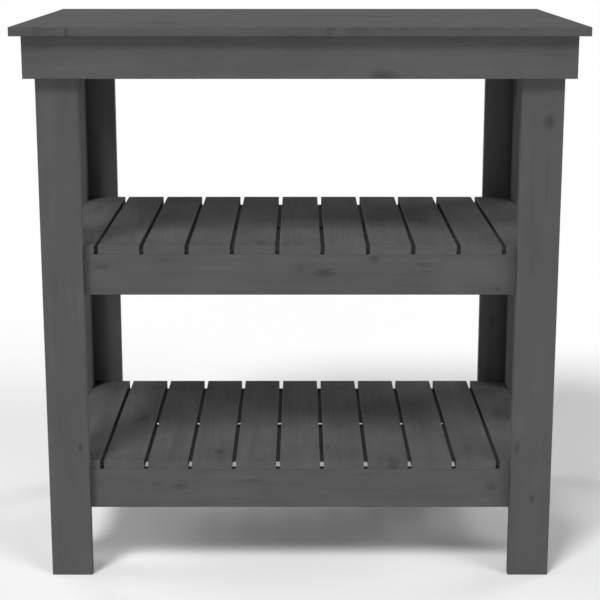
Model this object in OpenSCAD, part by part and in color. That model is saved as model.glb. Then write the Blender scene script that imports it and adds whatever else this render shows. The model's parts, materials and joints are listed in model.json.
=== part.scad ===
// Three-tier potting bench: a solid top on an apron frame, four L-shaped legs and
// two slatted shelves. Every timber piece is a dressed board with eased long edges.
// The origin is on the ground under the middle of the top. +Z is up, -Y is the front.

/* [Overall size] */
// Length of the top, from left to right
bench_w = 825; // [700:1:1000]
// Depth of the top, from front to back
bench_d = 500; // [420:1:600]
// Height of the working surface above the ground
bench_h = 842; // [780:1:950]

/* [Boards] */
// Width of the leg, apron, rail and batten boards
board_w = 61.5; // [55:0.5:70]
// Thickness of the leg, rail, slat and batten boards
board_t = 14; // [13:0.5:18]
// Thickness of the apron boards
apron_t = 15; // [14:0.5:18]
// Thickness of the top panel
top_t = 13; // [12:0.5:20]
// Distance that the top stands past the aprons on every side
overhang = 15; // [5:1:30]
// Chamfer along the long edges of every board and round the top panel
ease = 0.6; // [0.4:0.1:2]

/* [Shelves] */
// Height of the lower shelf's surface above the ground
low_shelf_z = 181; // [140:1:260]
// Height of the middle shelf's surface above the ground
mid_shelf_z = 518; // [420:1:600]
// Number of slats in each shelf
slat_count = 11; // [8:1:11]
// Open space between two slats
slat_gap = 6.4; // [4:0.1:12]

/* [Fasteners] */
// Shank diameter of the wood screws
screw_d = 4; // [3.5:0.5:4.5]
// Length of the screws that pass through one board into the next
screw_len = 25; // [22:0.5:25]
// Length of the screws that run into a board's end
end_screw_len = 40; // [35:1:50]
// Diameter of the dowels in the legs and the apron corners
dowel_d = 6; // [5:0.5:7]
// Number of dowels up each leg
leg_dowels_each = 5; // [3:1:7]
// Diameter of the brads that hold the slats
brad_d = 1.6; // [1.2:0.1:2]

/* [Hidden] */
$fn = 32;
SIDES = [-1, 1];
ENDS = ["left", "right"];
FACES = ["front", "back"];
SHELVES = ["low_shelf", "mid_shelf"];
SHELF_Z = [low_shelf_z, mid_shelf_z];

// Frame lines, measured from the middle of the bench
top_z = bench_h - top_t;
apron_z = top_z - board_w;
apron_x = bench_w / 2 - overhang;
apron_y = bench_d / 2 - overhang;
leg_x = apron_x - apron_t;
leg_y = apron_y - apron_t;
shelf_x = leg_x - board_t;
shelf_y = leg_y - board_t;
leg_inner_x = leg_x - board_w;
leg_side_w = board_w - board_t;

// Shelf frame
end_rail_x = shelf_x - board_t / 2;
slat_side_play = 1;
slats_x = shelf_x - slat_side_play;
slat_w = (2 * slats_x - (slat_count - 1) * slat_gap) / slat_count;

// Top battens and angle brackets
batten_play = 1;
batten_x = leg_inner_x - board_w / 2 - batten_play;
BATTEN_NAMES = ["left", "middle", "right"];
BATTEN_X = [-batten_x, 0, batten_x];
bracket_size = 20;
bracket_w = 16;
bracket_t = 2;
bracket_x = bench_w * 0.18;
bracket_y = bench_d * 0.14;

// Fasteners
hole_play = 0.1;
head_d = 2 * screw_d;
head_rim = 0.4;
head_h = head_rim + (head_d - screw_d) / 2;
tip_h = screw_d;
bracket_screw_len = 12;
batten_screw_len = board_t + 8;
dowel_len = 24;
dowel_blind = 9;
brad_len = 30;
brad_cover = 1.5;

TIMBER = [0.33, 0.34, 0.35];
PANEL = [0.36, 0.37, 0.38];
STEEL = [0.72, 0.73, 0.74];
DOWEL = [0.78, 0.64, 0.45];

// Places where a fastener starts: [point, rotation]. A fastener runs along -Z before it is turned.
UPWARDS = [180, 0, 0];
function along_x(s) = [0, -90 * s, 0];
function along_y(s) = [90 * s, 0, 0];
function rung(base, part) = base + board_w * part;

// The four corners, as signs of X and Y
CORNERS = [for (sx = SIDES, sy = SIDES) [sx, sy]];

// From inside each leg, outwards into the aprons
apron_screw_spots = [for (c = CORNERS, part = [0.3, 0.7]) each [
    [[c.x * (leg_inner_x + 0.4 * board_w), c.y * shelf_y, rung(apron_z, part)], along_y(c.y)],
    [[c.x * shelf_x, c.y * (leg_y - 0.65 * board_w), rung(apron_z, part)], along_x(c.x)]
]];

// From inside each shelf frame, outwards into the legs
function shelf_leg_spots(z) = [for (c = CORNERS, part = [0.4, 0.85]) each [
    [[c.x * (leg_inner_x + 0.3 * board_w), c.y * (shelf_y - board_t), rung(z, part)], along_y(c.y)],
    [[c.x * (shelf_x - board_t), c.y * (leg_y - 0.75 * board_w), rung(z, part)], along_x(c.x)]
]];

// From the outer faces of the shelf rails into the ends of the end rails and the middle rail
function shelf_frame_spots(z) = [for (part = [0.2, 0.6]) each [
    for (c = CORNERS) [[c.x * end_rail_x, c.y * shelf_y, rung(z, part)], along_y(-c.y)],
    for (sx = SIDES) [[sx * shelf_x, 0, rung(z, part)], along_x(-sx)]
]];

function slat_x(i) = -slats_x + slat_w / 2 + (i - 1) * (slat_w + slat_gap);

// Two brads through each slat into the front, middle and back rails
function brad_spots(z, i) = [for (y = [-1, 0, 1], s = SIDES)
    [slat_x(i) + s * slat_w / 4, y * (shelf_y - board_t / 2), z - brad_cover]];
function all_brad_spots(z) = [for (i = [1:slat_count]) each brad_spots(z, i)];

leg_dowel_spots = [for (c = CORNERS, n = [1:leg_dowels_each])
    [[c.x * (shelf_x + board_t / 2), c.y * (shelf_y + dowel_blind), top_z * (n - 0.5) / leg_dowels_each],
     along_y(-c.y)]];
apron_dowel_spots = [for (c = CORNERS, part = [0.25, 0.75])
    [[c.x * (leg_x + apron_t / 2), c.y * (leg_y + dowel_blind), rung(apron_z, part)], along_y(-c.y)]];

// Angle brackets: [middle of the inner corner under the panel, turn about Z]
bracket_spots = [
    for (sx = SIDES, sy = SIDES) [[sx * bracket_x, sy * leg_y, top_z], 90 * sy],
    for (sx = SIDES, sy = SIDES) [[sx * leg_x, sy * bracket_y, top_z], sx > 0 ? 0 : 180]
];
batten_screw_spots = [for (x = BATTEN_X, y = [-0.8, 0, 0.8], s = SIDES)
    [[x + s * board_w / 4, y * leg_y, top_z - board_t], UPWARDS]];

function slat_name(shelf, i) = str(shelf, "_slat_", i < 10 ? "0" : "", i);

// A rectangle with its four corners cut back
module eased_rectangle(a, b) {
    polygon([
        [ease, 0], [a - ease, 0], [a, ease], [a, b - ease],
        [a - ease, b], [ease, b], [0, b - ease], [0, ease]
    ]);
}

// A board centred on X and Y that stands on z = 0. Its edges are eased along its length,
// and its ends are cut square.
module board(size, along) {
    translate([-size.x / 2, -size.y / 2, 0])
        if (along == "x")
            rotate([90, 0, 90]) linear_extrude(size.x) eased_rectangle(size.y, size.z);
        else if (along == "y")
            translate([0, size.y, 0]) rotate([90, 0, 0])
                linear_extrude(size.y) eased_rectangle(size.x, size.z);
        else
            linear_extrude(size.z) eased_rectangle(size.x, size.y);
}

// A panel placed as a board is, with all twelve edges eased
module panel(size) {
    intersection() {
        board(size, "x");
        board(size, "y");
        board(size, "z");
    }
}

module at_spot(spot) {
    translate(spot[0]) rotate(spot[1]) children();
}

// Countersunk screw outline, grown by some play for the hole that it sits in
module screw_body(len, play = 0) {
    rotate_extrude()
        polygon([
            [0, 0], [head_d / 2 + play, 0], [head_d / 2 + play, -head_rim],
            [screw_d / 2 + play, -head_h], [screw_d / 2 + play, tip_h - len - play], [0, -len - play]
        ]);
}

module screw(len) {
    recess_w = screw_d / 4;
    recess_l = screw_d * 1.1;
    recess_h = 1.6;
    difference() {
        screw_body(len);
        for (turn = [0, 90])
            rotate(turn) cube([recess_l, recess_w, 2 * recess_h], center = true);
    }
}

module screws(spots, len) {
    color(STEEL) for (s = spots) at_spot(s) screw(len);
}

module screw_holes(spots, len) {
    for (s = spots) at_spot(s) screw_body(len, hole_play);
}

module dowel(play = 0) {
    translate([0, 0, -dowel_len - play])
        cylinder(d = dowel_d + 2 * play, h = dowel_len + 2 * play);
}

module dowels(spots) {
    color(DOWEL) for (s = spots) at_spot(s) dowel();
}

module dowel_holes(spots) {
    for (s = spots) at_spot(s) dowel(hole_play);
}

module brad(play = 0) {
    translate([0, 0, -brad_len - play]) cylinder(d = brad_d + 2 * play, h = brad_len + play);
}

module brads(spots) {
    color(STEEL) for (s = spots) translate(s) brad();
}

module brad_holes(spots) {
    for (s = spots) translate(s) brad(hole_play);
}

// ---- Top ----

module top_panel() {
    color(PANEL) difference() {
        translate([0, 0, top_z]) panel([bench_w, bench_d, top_t]);
        screw_holes(batten_screw_spots, batten_screw_len);
        bracket_screw_holes();
    }
}

module top_batten(x) {
    color(TIMBER) difference() {
        translate([x, 0, top_z - board_t]) board([board_w, 2 * (leg_y - batten_play), board_t], "y");
        screw_holes([for (s = batten_screw_spots) if (abs(s[0].x - x) < board_w) s], batten_screw_len);
    }
}

module apron_long(sy) {
    color(TIMBER) difference() {
        translate([0, sy * (leg_y + apron_t / 2), apron_z]) board([2 * apron_x, apron_t, board_w], "x");
        screw_holes(apron_screw_spots, screw_len);
        dowel_holes(apron_dowel_spots);
        bracket_screw_holes();
    }
}

module apron_short(sx) {
    color(TIMBER) difference() {
        translate([sx * (leg_x + apron_t / 2), 0, apron_z]) board([apron_t, 2 * leg_y, board_w], "y");
        screw_holes(apron_screw_spots, screw_len);
        dowel_holes(apron_dowel_spots);
        bracket_screw_holes();
    }
}

// The bracket's corner is at the origin, one arm points down and the other towards -X
module bracket() {
    difference() {
        translate([0, bracket_w / 2, 0]) rotate([90, 0, 0])
            linear_extrude(bracket_w)
                polygon([
                    [0, 0], [-bracket_size, 0], [-bracket_size, -bracket_t],
                    [-bracket_t, -bracket_t], [-bracket_t, -bracket_size], [0, -bracket_size]
                ]);
        bracket_screw_pair() screw_body(bracket_screw_len, hole_play);
    }
}

// One screw up into the panel and one out into the apron
module bracket_screw_pair() {
    hole = bracket_size * 0.6;
    translate([-hole, 0, -bracket_t]) rotate(UPWARDS) children();
    translate([-bracket_t, 0, -hole]) rotate(along_x(1)) children();
}

module at_brackets() {
    for (b = bracket_spots) translate(b[0]) rotate(b[1]) children();
}

module bracket_screw_holes() {
    at_brackets() bracket_screw_pair() screw_body(bracket_screw_len, hole_play);
}

module top_brackets() {
    color(STEEL) at_brackets() bracket();
}

module top_screws() {
    screws(batten_screw_spots, batten_screw_len);
    color(STEEL) at_brackets() bracket_screw_pair() screw(bracket_screw_len);
}

// ---- Legs: the face board covers the edge of the side board ----

module leg_holes() {
    screw_holes(apron_screw_spots, screw_len);
    for (z = SHELF_Z) screw_holes(shelf_leg_spots(z - board_t - board_w), screw_len);
    dowel_holes(leg_dowel_spots);
}

module leg_face_board(sx, sy) {
    color(TIMBER) difference() {
        translate([sx * (leg_x - board_w / 2), sy * (leg_y - board_t / 2), 0])
            board([board_w, board_t, top_z], "z");
        leg_holes();
    }
}

module leg_side_board(sx, sy) {
    color(TIMBER) difference() {
        translate([sx * (leg_x - board_t / 2), sy * (shelf_y - leg_side_w / 2), 0])
            board([board_t, leg_side_w, top_z], "z");
        leg_holes();
    }
}

// ---- Shelves: z is the underside of the shelf's rails ----

module shelf_long_rail(z, sy) {
    color(TIMBER) difference() {
        translate([0, sy * (shelf_y - board_t / 2), z]) board([2 * shelf_x, board_t, board_w], "x");
        screw_holes(shelf_frame_spots(z), end_screw_len);
        screw_holes(shelf_leg_spots(z), screw_len);
        brad_holes(all_brad_spots(z + board_w + board_t));
    }
}

module shelf_middle_rail(z) {
    color(TIMBER) difference() {
        translate([0, 0, z]) board([2 * (shelf_x - board_t), board_t, board_w], "x");
        screw_holes(shelf_frame_spots(z), end_screw_len);
        brad_holes(all_brad_spots(z + board_w + board_t));
    }
}

module shelf_end_rail(z, sx) {
    color(TIMBER) difference() {
        translate([sx * end_rail_x, 0, z]) board([board_t, 2 * (shelf_y - board_t), board_w], "y");
        screw_holes(shelf_frame_spots(z), end_screw_len);
        screw_holes(shelf_leg_spots(z), screw_len);
    }
}

module shelf_slat(surface_z, i) {
    color(TIMBER) difference() {
        translate([slat_x(i), 0, surface_z - board_t]) board([slat_w, 2 * shelf_y, board_t], "y");
        brad_holes(brad_spots(surface_z, i));
    }
}

top_panel();
for (n = [0, 1, 2])
    top_batten(BATTEN_X[n]);
for (n = [0, 1]) {
    apron_long(SIDES[n]);
    apron_short(SIDES[n]);
}
for (e = [0, 1], f = [0, 1]) {
    leg = str(FACES[f], "_", ENDS[e], "_leg_");
    leg_face_board(SIDES[e], SIDES[f]);
    leg_side_board(SIDES[e], SIDES[f]);
}
for (n = [0, 1]) {
    shelf = str(SHELVES[n], "_");
    surface = SHELF_Z[n];
    rail_z = surface - board_t - board_w;
    shelf_long_rail(rail_z, -1);
    shelf_long_rail(rail_z, 1);
    shelf_middle_rail(rail_z);
    shelf_end_rail(rail_z, -1);
    shelf_end_rail(rail_z, 1);
    for (i = [1:slat_count])
        shelf_slat(surface, i);
    screws(shelf_frame_spots(rail_z), end_screw_len);
    screws(shelf_leg_spots(rail_z), screw_len);
    brads(all_brad_spots(surface));
}
dowels(leg_dowel_spots);  // leg_dowels
dowels(apron_dowel_spots);  // apron_dowels
screws(apron_screw_spots, screw_len);  // apron_screws
top_brackets();
top_screws();
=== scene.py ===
"""Looks of the potting bench: grey-stained softwood boards, zinc-plated screws and brackets, beech
dowels, soft studio light, and a camera in front of the bench that looks down on it. Lengths are in
metres and angles in degrees."""

import json
import math
import random

import bpy
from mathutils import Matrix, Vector


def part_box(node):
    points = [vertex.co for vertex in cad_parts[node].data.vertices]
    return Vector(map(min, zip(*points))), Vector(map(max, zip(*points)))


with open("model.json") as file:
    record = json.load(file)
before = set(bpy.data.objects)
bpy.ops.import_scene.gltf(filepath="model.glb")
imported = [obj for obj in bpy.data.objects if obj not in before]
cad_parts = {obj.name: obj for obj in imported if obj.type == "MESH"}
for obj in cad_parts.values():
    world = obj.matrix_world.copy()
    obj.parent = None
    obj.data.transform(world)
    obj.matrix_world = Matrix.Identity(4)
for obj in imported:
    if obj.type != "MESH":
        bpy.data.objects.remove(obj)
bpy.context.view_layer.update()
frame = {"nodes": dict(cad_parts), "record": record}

MM = 0.001
SEED = 7

# ---------------------------------------------------------------- camera

CAMERA_DISTANCE = 2.36
CAMERA_HEIGHT = 0.975
CAMERA_PITCH = 12
CAMERA_SHIFT = -0.09
# In millimetres, as Blender has them
FOCAL_LENGTH = 89
SENSOR_WIDTH = 36.0

# ---------------------------------------------------------------- studio

# Each soft lamp: where it stands round the bench, its height, its width, and its power
LAMPS = {
    "key": (-30, 50, 17, 2.0),
    "left_fill": (-100, 20, 30, 1.4),
    "right_fill": (50, 40, 30, 1.0),
    "right_back_fill": (125, 10, 30, 1.8),
    "left_back_fill": (-140, 15, 30, 0.8),
    "front_fill": (0, 10, 40, 0.2),
}
CEILING_LIGHT = 0.05
# The wall is brightest at the horizon, and has faded out where a direction's Z reaches its top
WALL_LIGHT = 0.95
WALL_TOP = 0.35
FLOOR_SIZE = 80
FLOOR_LEVEL = 0.9
FLOOR_ROUGHNESS = 0.95

# ---------------------------------------------------------------- stained softwood

# Grey level of each slot's stain, and the most knots that one of its boards has
STAIN = {"top_panel": 0.076, "apron": 0.079, "leg": 0.078, "rail": 0.079, "slat": 0.080}
KNOT_COUNT = {"top_panel": 8, "apron": 2, "leg": 4, "rail": 6, "slat": 2}
# How strongly the broad streaks and blotches of the stain show, and how much less on cut ends
FIGURE = {"top_panel": 1.3, "apron": 1.0, "leg": 0.75, "rail": 1.05, "slat": 1.35}
FIGURE_LOST_ON_ENDS = 0.45

# The wood's noises: cells in a metre along, across and through the board, detail, roughness, and
# how far the noise's seed is from the board's own
NOISES = {
    "fibres": ((25.0, 900.0, 900.0), 3.0, 0.6, 0.0),
    "streaks": ((3.5, 85.0, 85.0), 3.0, 0.5, 0.0),
    "clouds": ((7.0, 26.0, 26.0), 3.0, 0.55, 0.0),
    "blotches": ((15.0, 18.0, 18.0), 2.0, 0.5, 0.3),
    "smudges": ((20.0, 70.0, 70.0), 1.0, 0.5, 0.5),
    "faintness": ((4.0, 12.0, 12.0), 1.0, 0.5, 0.7),
    "wander_across": ((2.4, 5.0, 5.0), 1.0, 0.5, 0.3),
    "wander_through": ((2.4, 5.0, 5.0), 1.0, 0.5, 0.6),
    "arris": ((60.0, 200.0, 200.0), 2.0, 0.5, 0.0),
    "knot_outline": ((110.0, 190.0, 190.0), 2.0, 0.5, 0.0),
    "knot_mottle": ((260.0, 330.0, 330.0), 2.0, 0.5, 0.0),
}
# How far one step of the seed moves a noise along each of its directions
SEED_STEPS = (40.0, 57.0, 74.0)
# Noise levels between which a smudge shows, and a board's rings grow faint
SMUDGE_EDGE = (0.16, 0.34)
FAINT_EDGE = (0.25, -0.2)
CUT_END_EDGE = (0.7, 0.95)

# What each layer adds to the figure, the shade, the roughness and the height of the surface
FIGURE_LAYERS = {"streaks": 0.36, "clouds": 0.34, "blotches": 0.26, "smudges": -0.08}
SHADE_LAYERS = {"board": 0.08, "clear_rings": -0.05, "fibres": 0.06, "core": -0.5, "end_rings": -0.03,
                "seam": -0.1, "edge": 0.04}
ROUGHNESS_LAYERS = {"streaks": 0.14, "rings": 0.05, "core": -0.06, "edge": -0.06, "cut_end": 0.08}
HEIGHT_LAYERS = {"fibres": 0.55, "rings": 0.25, "core": 0.5, "crack": -0.5, "seam": -0.5}
WOOD_ROUGHNESS = 0.78
WOOD_SPECULAR = 0.14
WOOD_BUMP = 0.35
WOOD_RELIEF = 0.3 * MM

ARRIS_WIDTH = 1.6 * MM
ARRIS_CORE = 0.2 * MM
ARRIS_RAGGED = 1.6 * MM

# The top panel is glued up from staves. Each stave's seed is drawn from the board's and its place.
STAVES_IN_TOP = 7
GLUE_LINE = (0.5 * MM, 0.1 * MM)
BOARD_STEP = 100.0
STAVE_STEP = 3.1
# Widens a stave by a hair, so that a board's own edge is still inside it
LOOSE = 1.001

# Growth rings. The pith lies beside and below the board and leans from its length.
RING_SPACING = 3.4 * MM
RING_WANDER_ACROSS = 22 * MM
RING_WANDER_THROUGH = 14 * MM
LEAN_ACROSS = 0.4
UNEVEN_CELLS = 90.0
UNEVEN_RINGS = 1.6
# Latewood darkens slowly and ends sharply, in shares of one ring
LATEWOOD = ((0.35, 0.9), (1.0, 0.93))
PITH_BESIDE = (-0.4, 0.4)
PITH_BELOW = (0.25, 1.2)
PITH_DEPTH = 60
PITH_LEAN = (-0.03, 0.03)

# A knot's parts, by distance from its middle in knot radii: where each one ends and is full
KNOT_DISC = (1.45, 0.6)
KNOT_EYE = (0.75, 0.0)
KNOT_PALE_RING = ((2.2, 1.5), (1.0, 1.4))
KNOT_CRACK = ((1.5, 1.15), (0.85, 1.15))
KNOT_LAYERS = {"disc": 0.5, "eye": 0.26, "reach": 0.24, "pale_ring": -0.14}
KNOT_FALLOFF = -0.16
KNOT_RAGGED = 0.8
KNOT_MOTTLE = 1.1
KNOT_PUSH = 1.5
SMALLEST_KNOT = 0.01 * MM
NO_KNOT = (-9, 0.5, 0, 1, 0)

# Knots on the boards that the photo shows, placed to the nearest twentieth: share of the length,
# share of the width, half their width, how many times longer than wide they are, and how dark
KNOTS = {
    "apron_front": [(0.65, 0.05, 9 * MM, 2, 0.85)],
    "front_right_leg_face_board": [(0.85, 0.65, 8 * MM, 1.3, 0.8), (0.15, 0.55, 4 * MM, 1.3, 0.8),
                                   (0.25, 0.15, 4 * MM, 2.5, 0.6), (0.75, 0.65, 3 * MM, 9, 0.3)],
    "front_left_leg_face_board": [(0.25, 0.8, 3 * MM, 2, 0.9), (0.55, 0.3, 3 * MM, 8, 0.35)],
    "mid_shelf_front_rail": [(0.1, 0.7, 4 * MM, 3, 0.75), (0.55, 0.55, 7 * MM, 2, 0.75),
                             (0.5, 0.6, 5 * MM, 1.3, 0.3), (0.65, 0.9, 4 * MM, 2, 0.7),
                             (0.9, 0.15, 3 * MM, 1.2, 0.8), (0.75, 0.75, 4 * MM, 3, 0.3)],
    "low_shelf_front_rail": [(0.9, 0.55, 6 * MM, 1.5, 0.65), (0.25, 0.55, 5 * MM, 2.5, 0.65),
                             (0.4, 0.7, 2.5 * MM, 8, 0.5), (0.2, 0.6, 5 * MM, 2, 0.25)],
    "mid_shelf_slat_04": [(0.35, 0.45, 5 * MM, 2, 0.3), (0.25, 0.95, 5 * MM, 1.5, 0.6)],
    "mid_shelf_slat_05": [(0.05, 0.65, 8 * MM, 2, 0.8), (0.25, 0.2, 9 * MM, 1.5, 0.7)],
    "low_shelf_slat_02": [(0.5, 0.65, 8 * MM, 2, 0.8)],
    "low_shelf_slat_04": [(0.1, 0.65, 8 * MM, 1.2, 1.0)],
    "low_shelf_slat_06": [(0.15, 0.95, 4 * MM, 3, 0.6)],
    "low_shelf_slat_07": [(0.15, 0.1, 5 * MM, 2.5, 0.9), (0.05, 0.15, 7 * MM, 2.5, 0.4)],
    "low_shelf_slat_08": [(0, 0.65, 8 * MM, 1.5, 0.6)],
    "low_shelf_slat_09": [(0.35, 0.7, 5 * MM, 2, 0.3)],
    # On the tenth low slat, a darker patch is drawn with a knot's shape
    "low_shelf_slat_10": [(0.15, 0.4, 8 * MM, 1.5, 0.4)],
    "low_shelf_slat_11": [(0.55, 0.55, 16 * MM, 2, 0.55)],
    "top_panel": [(0.25, 0.2, 14 * MM, 2, 1.0), (0.1, 0, 3 * MM, 1, 0.6), (0.55, 0, 5 * MM, 1.3, 0.4),
                  (0.6, 0, 7 * MM, 2, 0.25), (0.65, 0.5, 9 * MM, 2.5, 0.5), (0.8, 0, 8 * MM, 2, 0.2),
                  (0.6, 0.55, 8 * MM, 2, 0.4), (0.05, 0, 5 * MM, 1.2, 0.2)],
}
# Boards that the photo shows, so their knots are those above. The others get up to three knots by
# chance, with each number between two limits, in the same order.
SEEN_BOARDS = ("apron_front", "top_panel", "front_left_leg_face", "front_right_leg_face",
               "mid_shelf_front", "low_shelf_front", "mid_shelf_slat", "low_shelf_slat")
MOST_CHANCE_KNOTS = 3
CHANCE_KNOT = ((0.04, 0.96), (0.1, 0.9), (2.5 * MM, 7.5 * MM), (1.3, 2.6), (0.5, 1.0))

# The board's own directions, from its longest to its shortest
WAYS = ("along", "across", "through")

# ---------------------------------------------------------------- zinc and beech

ZINC_CELLS = 420.0
ZINC_DETAIL = 3.0
ZINC_LEVEL = 0.42
ZINC_MOTTLE = 0.16
ZINC_TINT = (1.0, 1.01, 1.03)
ZINC_ROUGHNESS = 0.42
ZINC_ROUGHNESS_MOTTLE = 0.3
ZINC_BUMP = 0.15
ZINC_RELIEF = 0.05 * MM

# Cells in a metre along X, Y and Z
BEECH_FLECKS = (1400.0, 240.0, 1400.0)
BEECH_DETAIL = 3.0
BEECH_GRIT = 0.6
# Red, green and blue: level, and how much the flecks change it
BEECH_COLOUR = ((0.56, 0.2), (0.37, 0.16), (0.2, 0.1))
BEECH_ROUGHNESS = 0.6
BEECH_ROUGHNESS_FLECKS = 0.2


class Graph:
    """Short ways to add nodes to a material's tree and to join them."""

    def __init__(self, tree):
        self.tree = tree

    def put(self, socket, value):
        if isinstance(value, bpy.types.NodeSocket):
            self.tree.links.new(value, socket)
        else:
            socket.default_value = value

    def node(self, kind, **settings):
        made = self.tree.nodes.new(kind)
        for name, value in settings.items():
            setattr(made, name, value)
        return made

    def math(self, operation, *values):
        made = self.node("ShaderNodeMath", operation=operation)
        for socket, value in zip(made.inputs, values):
            self.put(socket, value)
        return made.outputs[0]

    def add(self, *values):
        total = values[0]
        for value in values[1:]:
            total = self.math("ADD", total, value)
        return total

    def mul(self, *values):
        total = values[0]
        for value in values[1:]:
            total = self.math("MULTIPLY", total, value)
        return total

    def sub(self, a, b):
        return self.math("SUBTRACT", a, b)

    def scaled(self, value, factor, offset):
        return self.math("MULTIPLY_ADD", value, factor, offset)

    def layered(self, base, weights, layers):
        """base plus each of the layers times its weight."""
        return self.add(base, *[self.mul(layers[name], weight) for name, weight in weights.items()])

    def length(self, a, b):
        return self.math("SQRT", self.add(self.mul(a, a), self.mul(b, b)))

    def dot(self, a, b):
        made = self.node("ShaderNodeVectorMath", operation="DOT_PRODUCT")
        self.put(made.inputs[0], a)
        self.put(made.inputs[1], b)
        return made.outputs["Value"]

    def vector(self, x, y, z):
        made = self.node("ShaderNodeCombineXYZ")
        for socket, value in zip(made.inputs, (x, y, z)):
            self.put(socket, value)
        return made.outputs[0]

    def split(self, vector):
        made = self.node("ShaderNodeSeparateXYZ")
        self.put(made.inputs[0], vector)
        return made.outputs

    def step(self, value, low, high):
        """0 below low, 1 above high and smooth between them. It falls where low is above high."""
        made = self.node("ShaderNodeMapRange", interpolation_type="SMOOTHSTEP", clamp=True)
        flip = low > high
        self.put(made.inputs["Value"], value)
        self.put(made.inputs["From Min"], high if flip else low)
        self.put(made.inputs["From Max"], low if flip else high)
        self.put(made.inputs["To Min"], 1.0 if flip else 0.0)
        self.put(made.inputs["To Max"], 0.0 if flip else 1.0)
        return made.outputs["Result"]

    def band(self, value, first, second):
        """1 where both of two steps are full, each given as (low, high)."""
        return self.mul(self.step(value, *first), self.step(value, *second))

    def noise(self, vector, detail, roughness=0.5, cells=1.0):
        """Noise about 0, from about -0.5 to 0.5."""
        made = self.node("ShaderNodeTexNoise")
        self.put(made.inputs["Vector"], vector)
        self.put(made.inputs["Scale"], cells)
        self.put(made.inputs["Detail"], detail)
        self.put(made.inputs["Roughness"], roughness)
        return self.sub(made.outputs["Fac"], 0.5)

    def chance(self, value):
        """A number from 0 to 1 that differs for each value."""
        made = self.node("ShaderNodeTexWhiteNoise", noise_dimensions="1D")
        self.put(made.inputs["W"], value)
        return made.outputs["Value"]

    def own(self, name):
        """A property of the object that wears the material."""
        return self.node("ShaderNodeAttribute", attribute_type="OBJECT", attribute_name=name)


def new_material(name):
    material = bpy.data.materials.new(name)
    material.use_nodes = True
    tree = material.node_tree
    return material, Graph(tree), tree.nodes["Principled BSDF"]


def add_bump(g, shader, height, strength, distance):
    bump = g.node("ShaderNodeBump")
    g.put(bump.inputs["Strength"], strength)
    g.put(bump.inputs["Distance"], distance)
    g.put(bump.inputs["Height"], height)
    g.put(shader.inputs["Normal"], bump.outputs[0])


# ---------------------------------------------------------------- boards


def board_coordinates(g):
    """Distances along, across and through the board from its middle, and how squarely the surface
    faces along it."""
    here = g.node("ShaderNodeTexCoord")
    offset = g.node("ShaderNodeVectorMath", operation="SUBTRACT")
    g.put(offset.inputs[0], here.outputs["Object"])
    g.put(offset.inputs[1], g.own("centre").outputs["Vector"])
    place = [g.dot(offset.outputs[0], g.own(way).outputs["Vector"]) for way in WAYS]
    facing = g.math("ABSOLUTE", g.dot(here.outputs["Normal"], g.own(WAYS[0]).outputs["Vector"]))
    return place, facing


def wood_noise(g, place, seed, name):
    """One of the wood's noises in the board's own directions, with its own pattern for each seed."""
    scales, detail, roughness, apart = NOISES[name]
    own_seed = g.add(seed, apart)
    vector = g.vector(*[g.scaled(distance, scale, g.mul(own_seed, step))
                        for distance, scale, step in zip(place, scales, SEED_STEPS)])
    return g.noise(vector, detail, roughness)


def staves(g, place):
    """(place within one stave, the stave's own chance number, 1 at its glue lines). Only the top
    panel has more than one stave."""
    width = g.own("stave").outputs["Fac"]
    index = g.math("FLOOR", g.add(g.math("DIVIDE", place[1], width), 0.5))
    across = g.sub(place[1], g.mul(index, width))
    seed = g.chance(g.add(g.mul(g.own("seed").outputs["Fac"], BOARD_STEP), g.mul(index, STAVE_STEP)))
    seam = g.step(g.sub(g.mul(width, 0.5), g.math("ABSOLUTE", across)), *GLUE_LINE)
    return [place[0], across, place[2]], seed, seam


def knots(g, place, count):
    """(how far the knots push the rings aside, how dark they are, the cracks round them)."""
    push, core, crack = 0.0, 0.0, 0.0
    for n in range(count):
        knot = g.own(f"knot_{n}")
        dark = g.own(f"knot_dark_{n}").outputs["Fac"]
        at_along, at_across, radius = g.split(knot.outputs["Vector"])
        size = g.math("MAXIMUM", radius, SMALLEST_KNOT)
        ragged = wood_noise(g, place, float(n), "knot_outline")
        mottle = wood_noise(g, place, float(n), "knot_mottle")
        along = g.math("DIVIDE", g.sub(place[0], at_along), g.mul(size, knot.outputs["Alpha"]))
        across = g.math("DIVIDE", g.sub(place[1], at_across), size)
        away = g.add(g.length(along, across), g.mul(ragged, KNOT_RAGGED))
        reach = g.math("EXPONENT", g.mul(away, away, KNOT_FALLOFF))
        layers = {"disc": g.step(away, *KNOT_DISC), "eye": g.step(away, *KNOT_EYE), "reach": reach,
                  "pale_ring": g.band(away, *KNOT_PALE_RING)}
        depth = g.layered(0.0, KNOT_LAYERS, layers)
        push = g.add(push, g.mul(reach, radius, KNOT_PUSH))
        core = g.add(core, g.mul(depth, g.scaled(mottle, KNOT_MOTTLE, 1.0), dark))
        crack = g.add(crack, g.mul(g.band(away, *KNOT_CRACK), dark))
    return push, core, crack


def growth_rings(g, place, seed, push):
    """Dark latewood lines of a board sawn from a log whose pith runs beside it."""
    beside, below, lean = g.split(g.own("pith").outputs["Vector"])
    wander_across = g.mul(wood_noise(g, place, seed, "wander_across"), RING_WANDER_ACROSS)
    wander_through = g.mul(wood_noise(g, place, seed, "wander_through"), RING_WANDER_THROUGH)
    across = g.add(g.sub(place[1], beside), g.mul(lean, place[0], LEAN_ACROSS), wander_across)
    through = g.add(place[2], below, g.mul(lean, place[0]), wander_through)
    distance = g.add(g.length(across, through), push)
    uneven = g.noise(g.vector(g.mul(distance, UNEVEN_CELLS), seed, 0.0), 1.0)
    phase = g.math("FRACT", g.add(g.mul(distance, 1 / RING_SPACING), g.mul(uneven, UNEVEN_RINGS)))
    return g.band(phase, *LATEWOOD)


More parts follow.
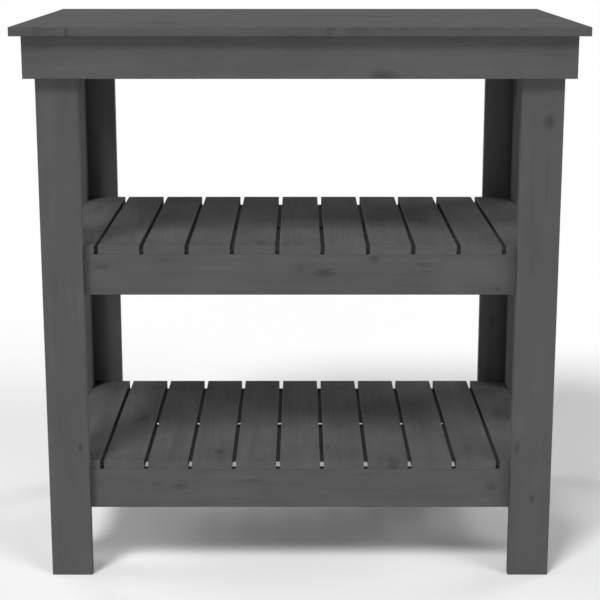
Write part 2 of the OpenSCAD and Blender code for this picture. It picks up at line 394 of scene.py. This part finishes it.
def arrises(g, place, seed):
    """1 on the board's own edges, where the stain rubs thin, and 0 on its faces."""
    half = g.split(g.own("half").outputs["Vector"])
    ragged = g.mul(wood_noise(g, place, seed, "arris"), ARRIS_RAGGED)
    near = [g.step(g.add(g.sub(limit, g.math("ABSOLUTE", distance)), ragged), ARRIS_WIDTH, ARRIS_CORE)
            for distance, limit in zip(place, half)]
    pairs = [g.mul(near[0], near[1]), g.mul(near[1], near[2]), g.mul(near[2], near[0])]
    return g.math("MAXIMUM", g.math("MAXIMUM", pairs[0], pairs[1]), pairs[2])


def wood_layers(g, slot):
    """Every layer that the wood's shade, roughness and height are mixed from."""
    place, end_facing = board_coordinates(g)
    within, seed, seam = staves(g, place)
    push, core, crack = knots(g, place, KNOT_COUNT[slot])
    rings = growth_rings(g, within, seed, push)
    cut_end = g.step(end_facing, *CUT_END_EDGE)
    faint = g.step(wood_noise(g, within, seed, "faintness"), *FAINT_EDGE)
    layers = {name: wood_noise(g, within, seed, name)
              for name in ("fibres", "streaks", "clouds", "blotches")}
    layers.update({
        "smudges": g.step(wood_noise(g, within, seed, "smudges"), *SMUDGE_EDGE),
        "board": g.sub(seed, 0.5),
        "rings": rings,
        "clear_rings": g.mul(rings, g.sub(1.0, faint)),
        "end_rings": g.mul(cut_end, rings),
        "cut_end": cut_end,
        "core": core,
        "crack": crack,
        "seam": seam,
        "edge": arrises(g, place, seed),
    })
    return layers


def timber(slot, level):
    """Softwood under a thin grey stain: rings, fibres, knots, cut ends and rubbed edges."""
    material, g, shader = new_material("stained_" + slot)
    layers = wood_layers(g, slot)
    strength = g.scaled(layers["cut_end"], -FIGURE_LOST_ON_ENDS * FIGURE[slot], FIGURE[slot])
    figure = g.mul(g.layered(0.0, FIGURE_LAYERS, layers), strength)
    value = g.mul(g.layered(g.add(figure, 1.0), SHADE_LAYERS, layers), level)
    g.put(shader.inputs["Base Color"], g.vector(value, value, value))
    g.put(shader.inputs["Roughness"], g.layered(WOOD_ROUGHNESS, ROUGHNESS_LAYERS, layers))
    g.put(shader.inputs["Specular IOR Level"], WOOD_SPECULAR)
    add_bump(g, shader, g.layered(0.0, HEIGHT_LAYERS, layers), WOOD_BUMP, WOOD_RELIEF)
    return material


def chance_knots(rng, most):
    """A few knots for a board that the photo doesn't show."""
    return [tuple(rng.uniform(low, high) for low, high in CHANCE_KNOT)
            for _ in range(min(rng.randint(0, MOST_CHANCE_KNOTS), most))]


def describe_board(piece, slot, rng):
    """Gives a board the properties that its material reads."""
    low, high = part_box(piece.name)
    size = high - low
    order = sorted(range(3), key=lambda axis: -size[axis])
    length, width = size[order[0]], size[order[1]]
    piece["centre"] = list((low + high) / 2)
    piece["half"] = [size[axis] / 2 for axis in order]
    piece["seed"] = rng.random()
    for way, axis in zip(WAYS, order):
        piece[way] = [1.0 if n == axis else 0.0 for n in range(3)]
    piece["pith"] = [rng.uniform(*PITH_BESIDE) * width, rng.uniform(*PITH_BELOW) * PITH_DEPTH * MM,
                     rng.uniform(*PITH_LEAN)]
    piece["stave"] = width * LOOSE / (STAVES_IN_TOP if slot == "top_panel" else 1)
    count = KNOT_COUNT[slot]
    seen = piece.name.startswith(SEEN_BOARDS)
    spots = KNOTS.get(piece.name, []) if seen else chance_knots(rng, count)
    spots = (spots + [NO_KNOT] * count)[:count]
    for n, (along, across, radius, longer, dark) in enumerate(spots):
        piece[f"knot_{n}"] = [(along - 0.5) * length, (across - 0.5) * width, radius, longer]
        piece[f"knot_dark_{n}"] = float(dark)


def soften(piece):
    """Shades the eased edges as round ones and keeps the faces flat."""
    for polygon in piece.data.polygons:
        polygon.use_smooth = True
    weighted = piece.modifiers.new("even_shading", "WEIGHTED_NORMAL")
    weighted.keep_sharp = True


# ---------------------------------------------------------------- small hardware


def zinc():
    """Bright zinc plate with a faint mottle."""
    material, g, shader = new_material("zinc_plate")
    here = g.node("ShaderNodeTexCoord").outputs["Object"]
    mottle = g.noise(here, ZINC_DETAIL, cells=ZINC_CELLS)
    level = g.scaled(mottle, ZINC_MOTTLE, ZINC_LEVEL)
    g.put(shader.inputs["Base Color"], g.vector(*[g.mul(level, tint) for tint in ZINC_TINT]))
    g.put(shader.inputs["Metallic"], 1.0)
    g.put(shader.inputs["Roughness"], g.scaled(mottle, ZINC_ROUGHNESS_MOTTLE, ZINC_ROUGHNESS))
    add_bump(g, shader, mottle, ZINC_BUMP, ZINC_RELIEF)
    return material


def beech():
    """Bare beech with short flecks, for the dowels."""
    material, g, shader = new_material("bare_beech")
    here = g.split(g.node("ShaderNodeTexCoord").outputs["Object"])
    stretched = g.vector(*[g.mul(part, cells) for part, cells in zip(here, BEECH_FLECKS)])
    flecks = g.noise(stretched, BEECH_DETAIL, BEECH_GRIT)
    colour = g.vector(*[g.scaled(flecks, spread, level) for level, spread in BEECH_COLOUR])
    g.put(shader.inputs["Base Color"], colour)
    g.put(shader.inputs["Roughness"], g.scaled(flecks, BEECH_ROUGHNESS_FLECKS, BEECH_ROUGHNESS))
    return material


# ---------------------------------------------------------------- scene


def surround(scene):
    """Even light from above, and a brighter band of wall along the horizon."""
    world = bpy.data.worlds.new("studio")
    scene.world = world
    world.use_nodes = True
    g = Graph(world.node_tree)
    height = g.split(g.node("ShaderNodeTexCoord").outputs["Generated"])["Z"]
    wall = g.mul(g.step(height, WALL_TOP, 0.0), WALL_LIGHT)
    background = world.node_tree.nodes["Background"]
    g.put(background.inputs["Color"], (1, 1, 1, 1))
    g.put(background.inputs["Strength"], g.add(wall, CEILING_LIGHT))


def add_lamp(scene, name, azimuth, elevation, spread, power):
    """A soft lamp. Azimuth 0 is in front of the bench and 90 is on its right."""
    lamp = bpy.data.lights.new(name, "SUN")
    lamp.energy = power
    lamp.angle = math.radians(spread)
    made = bpy.data.objects.new(name, lamp)
    turn, rise = math.radians(azimuth), math.radians(elevation)
    source = Vector((math.sin(turn) * math.cos(rise), -math.cos(turn) * math.cos(rise), math.sin(rise)))
    made.rotation_mode = "QUATERNION"
    made.rotation_quaternion = source.to_track_quat("Z", "Y")
    scene.collection.objects.link(made)


def studio():
    """A pale floor, a plain surround and soft lamps."""
    scene = bpy.context.scene
    surround(scene)
    for name, settings in LAMPS.items():
        add_lamp(scene, name, *settings)
    bpy.ops.mesh.primitive_plane_add(size=FLOOR_SIZE)
    floor = bpy.context.object
    floor.name = "studio_floor"
    material, g, shader = new_material("pale_floor")
    g.put(shader.inputs["Base Color"], (FLOOR_LEVEL, FLOOR_LEVEL, FLOOR_LEVEL, 1))
    g.put(shader.inputs["Roughness"], FLOOR_ROUGHNESS)
    g.put(shader.inputs["Specular IOR Level"], 0.0)
    floor.data.materials.append(material)
    scene.view_settings.view_transform = "Standard"


def camera():
    """Stands in front of the bench, about where the photo was taken, and is pitched down."""
    data = bpy.data.cameras.new("camera")
    data.sensor_width = SENSOR_WIDTH
    data.lens = FOCAL_LENGTH
    data.shift_y = CAMERA_SHIFT
    made = bpy.data.objects.new("camera", data)
    made.location = (0, -CAMERA_DISTANCE, CAMERA_HEIGHT)
    made.rotation_euler = (math.radians(90 - CAMERA_PITCH), 0, 0)
    bpy.context.scene.collection.objects.link(made)
    bpy.context.scene.camera = made


def finishes():
    """A material for every slot of the record."""
    made = {slot: timber(slot, level) for slot, level in STAIN.items()}
    made["dowel"] = beech()
    made["zinc_steel"] = zinc()
    return made


def dress():
    """Gives every CAD node its finish, and every board the directions of its grain."""
    rng = random.Random(SEED)
    looks = finishes()
    for part in sorted(frame["record"]["subparts"], key=lambda part: part["node"]):
        piece = frame["nodes"][part["node"]]
        slot = part["material_slot"]
        piece.data.materials.clear()
        piece.data.materials.append(looks[slot])
        if slot in STAIN:
            describe_board(piece, slot, rng)
            soften(piece)


camera()
dress()
studio()
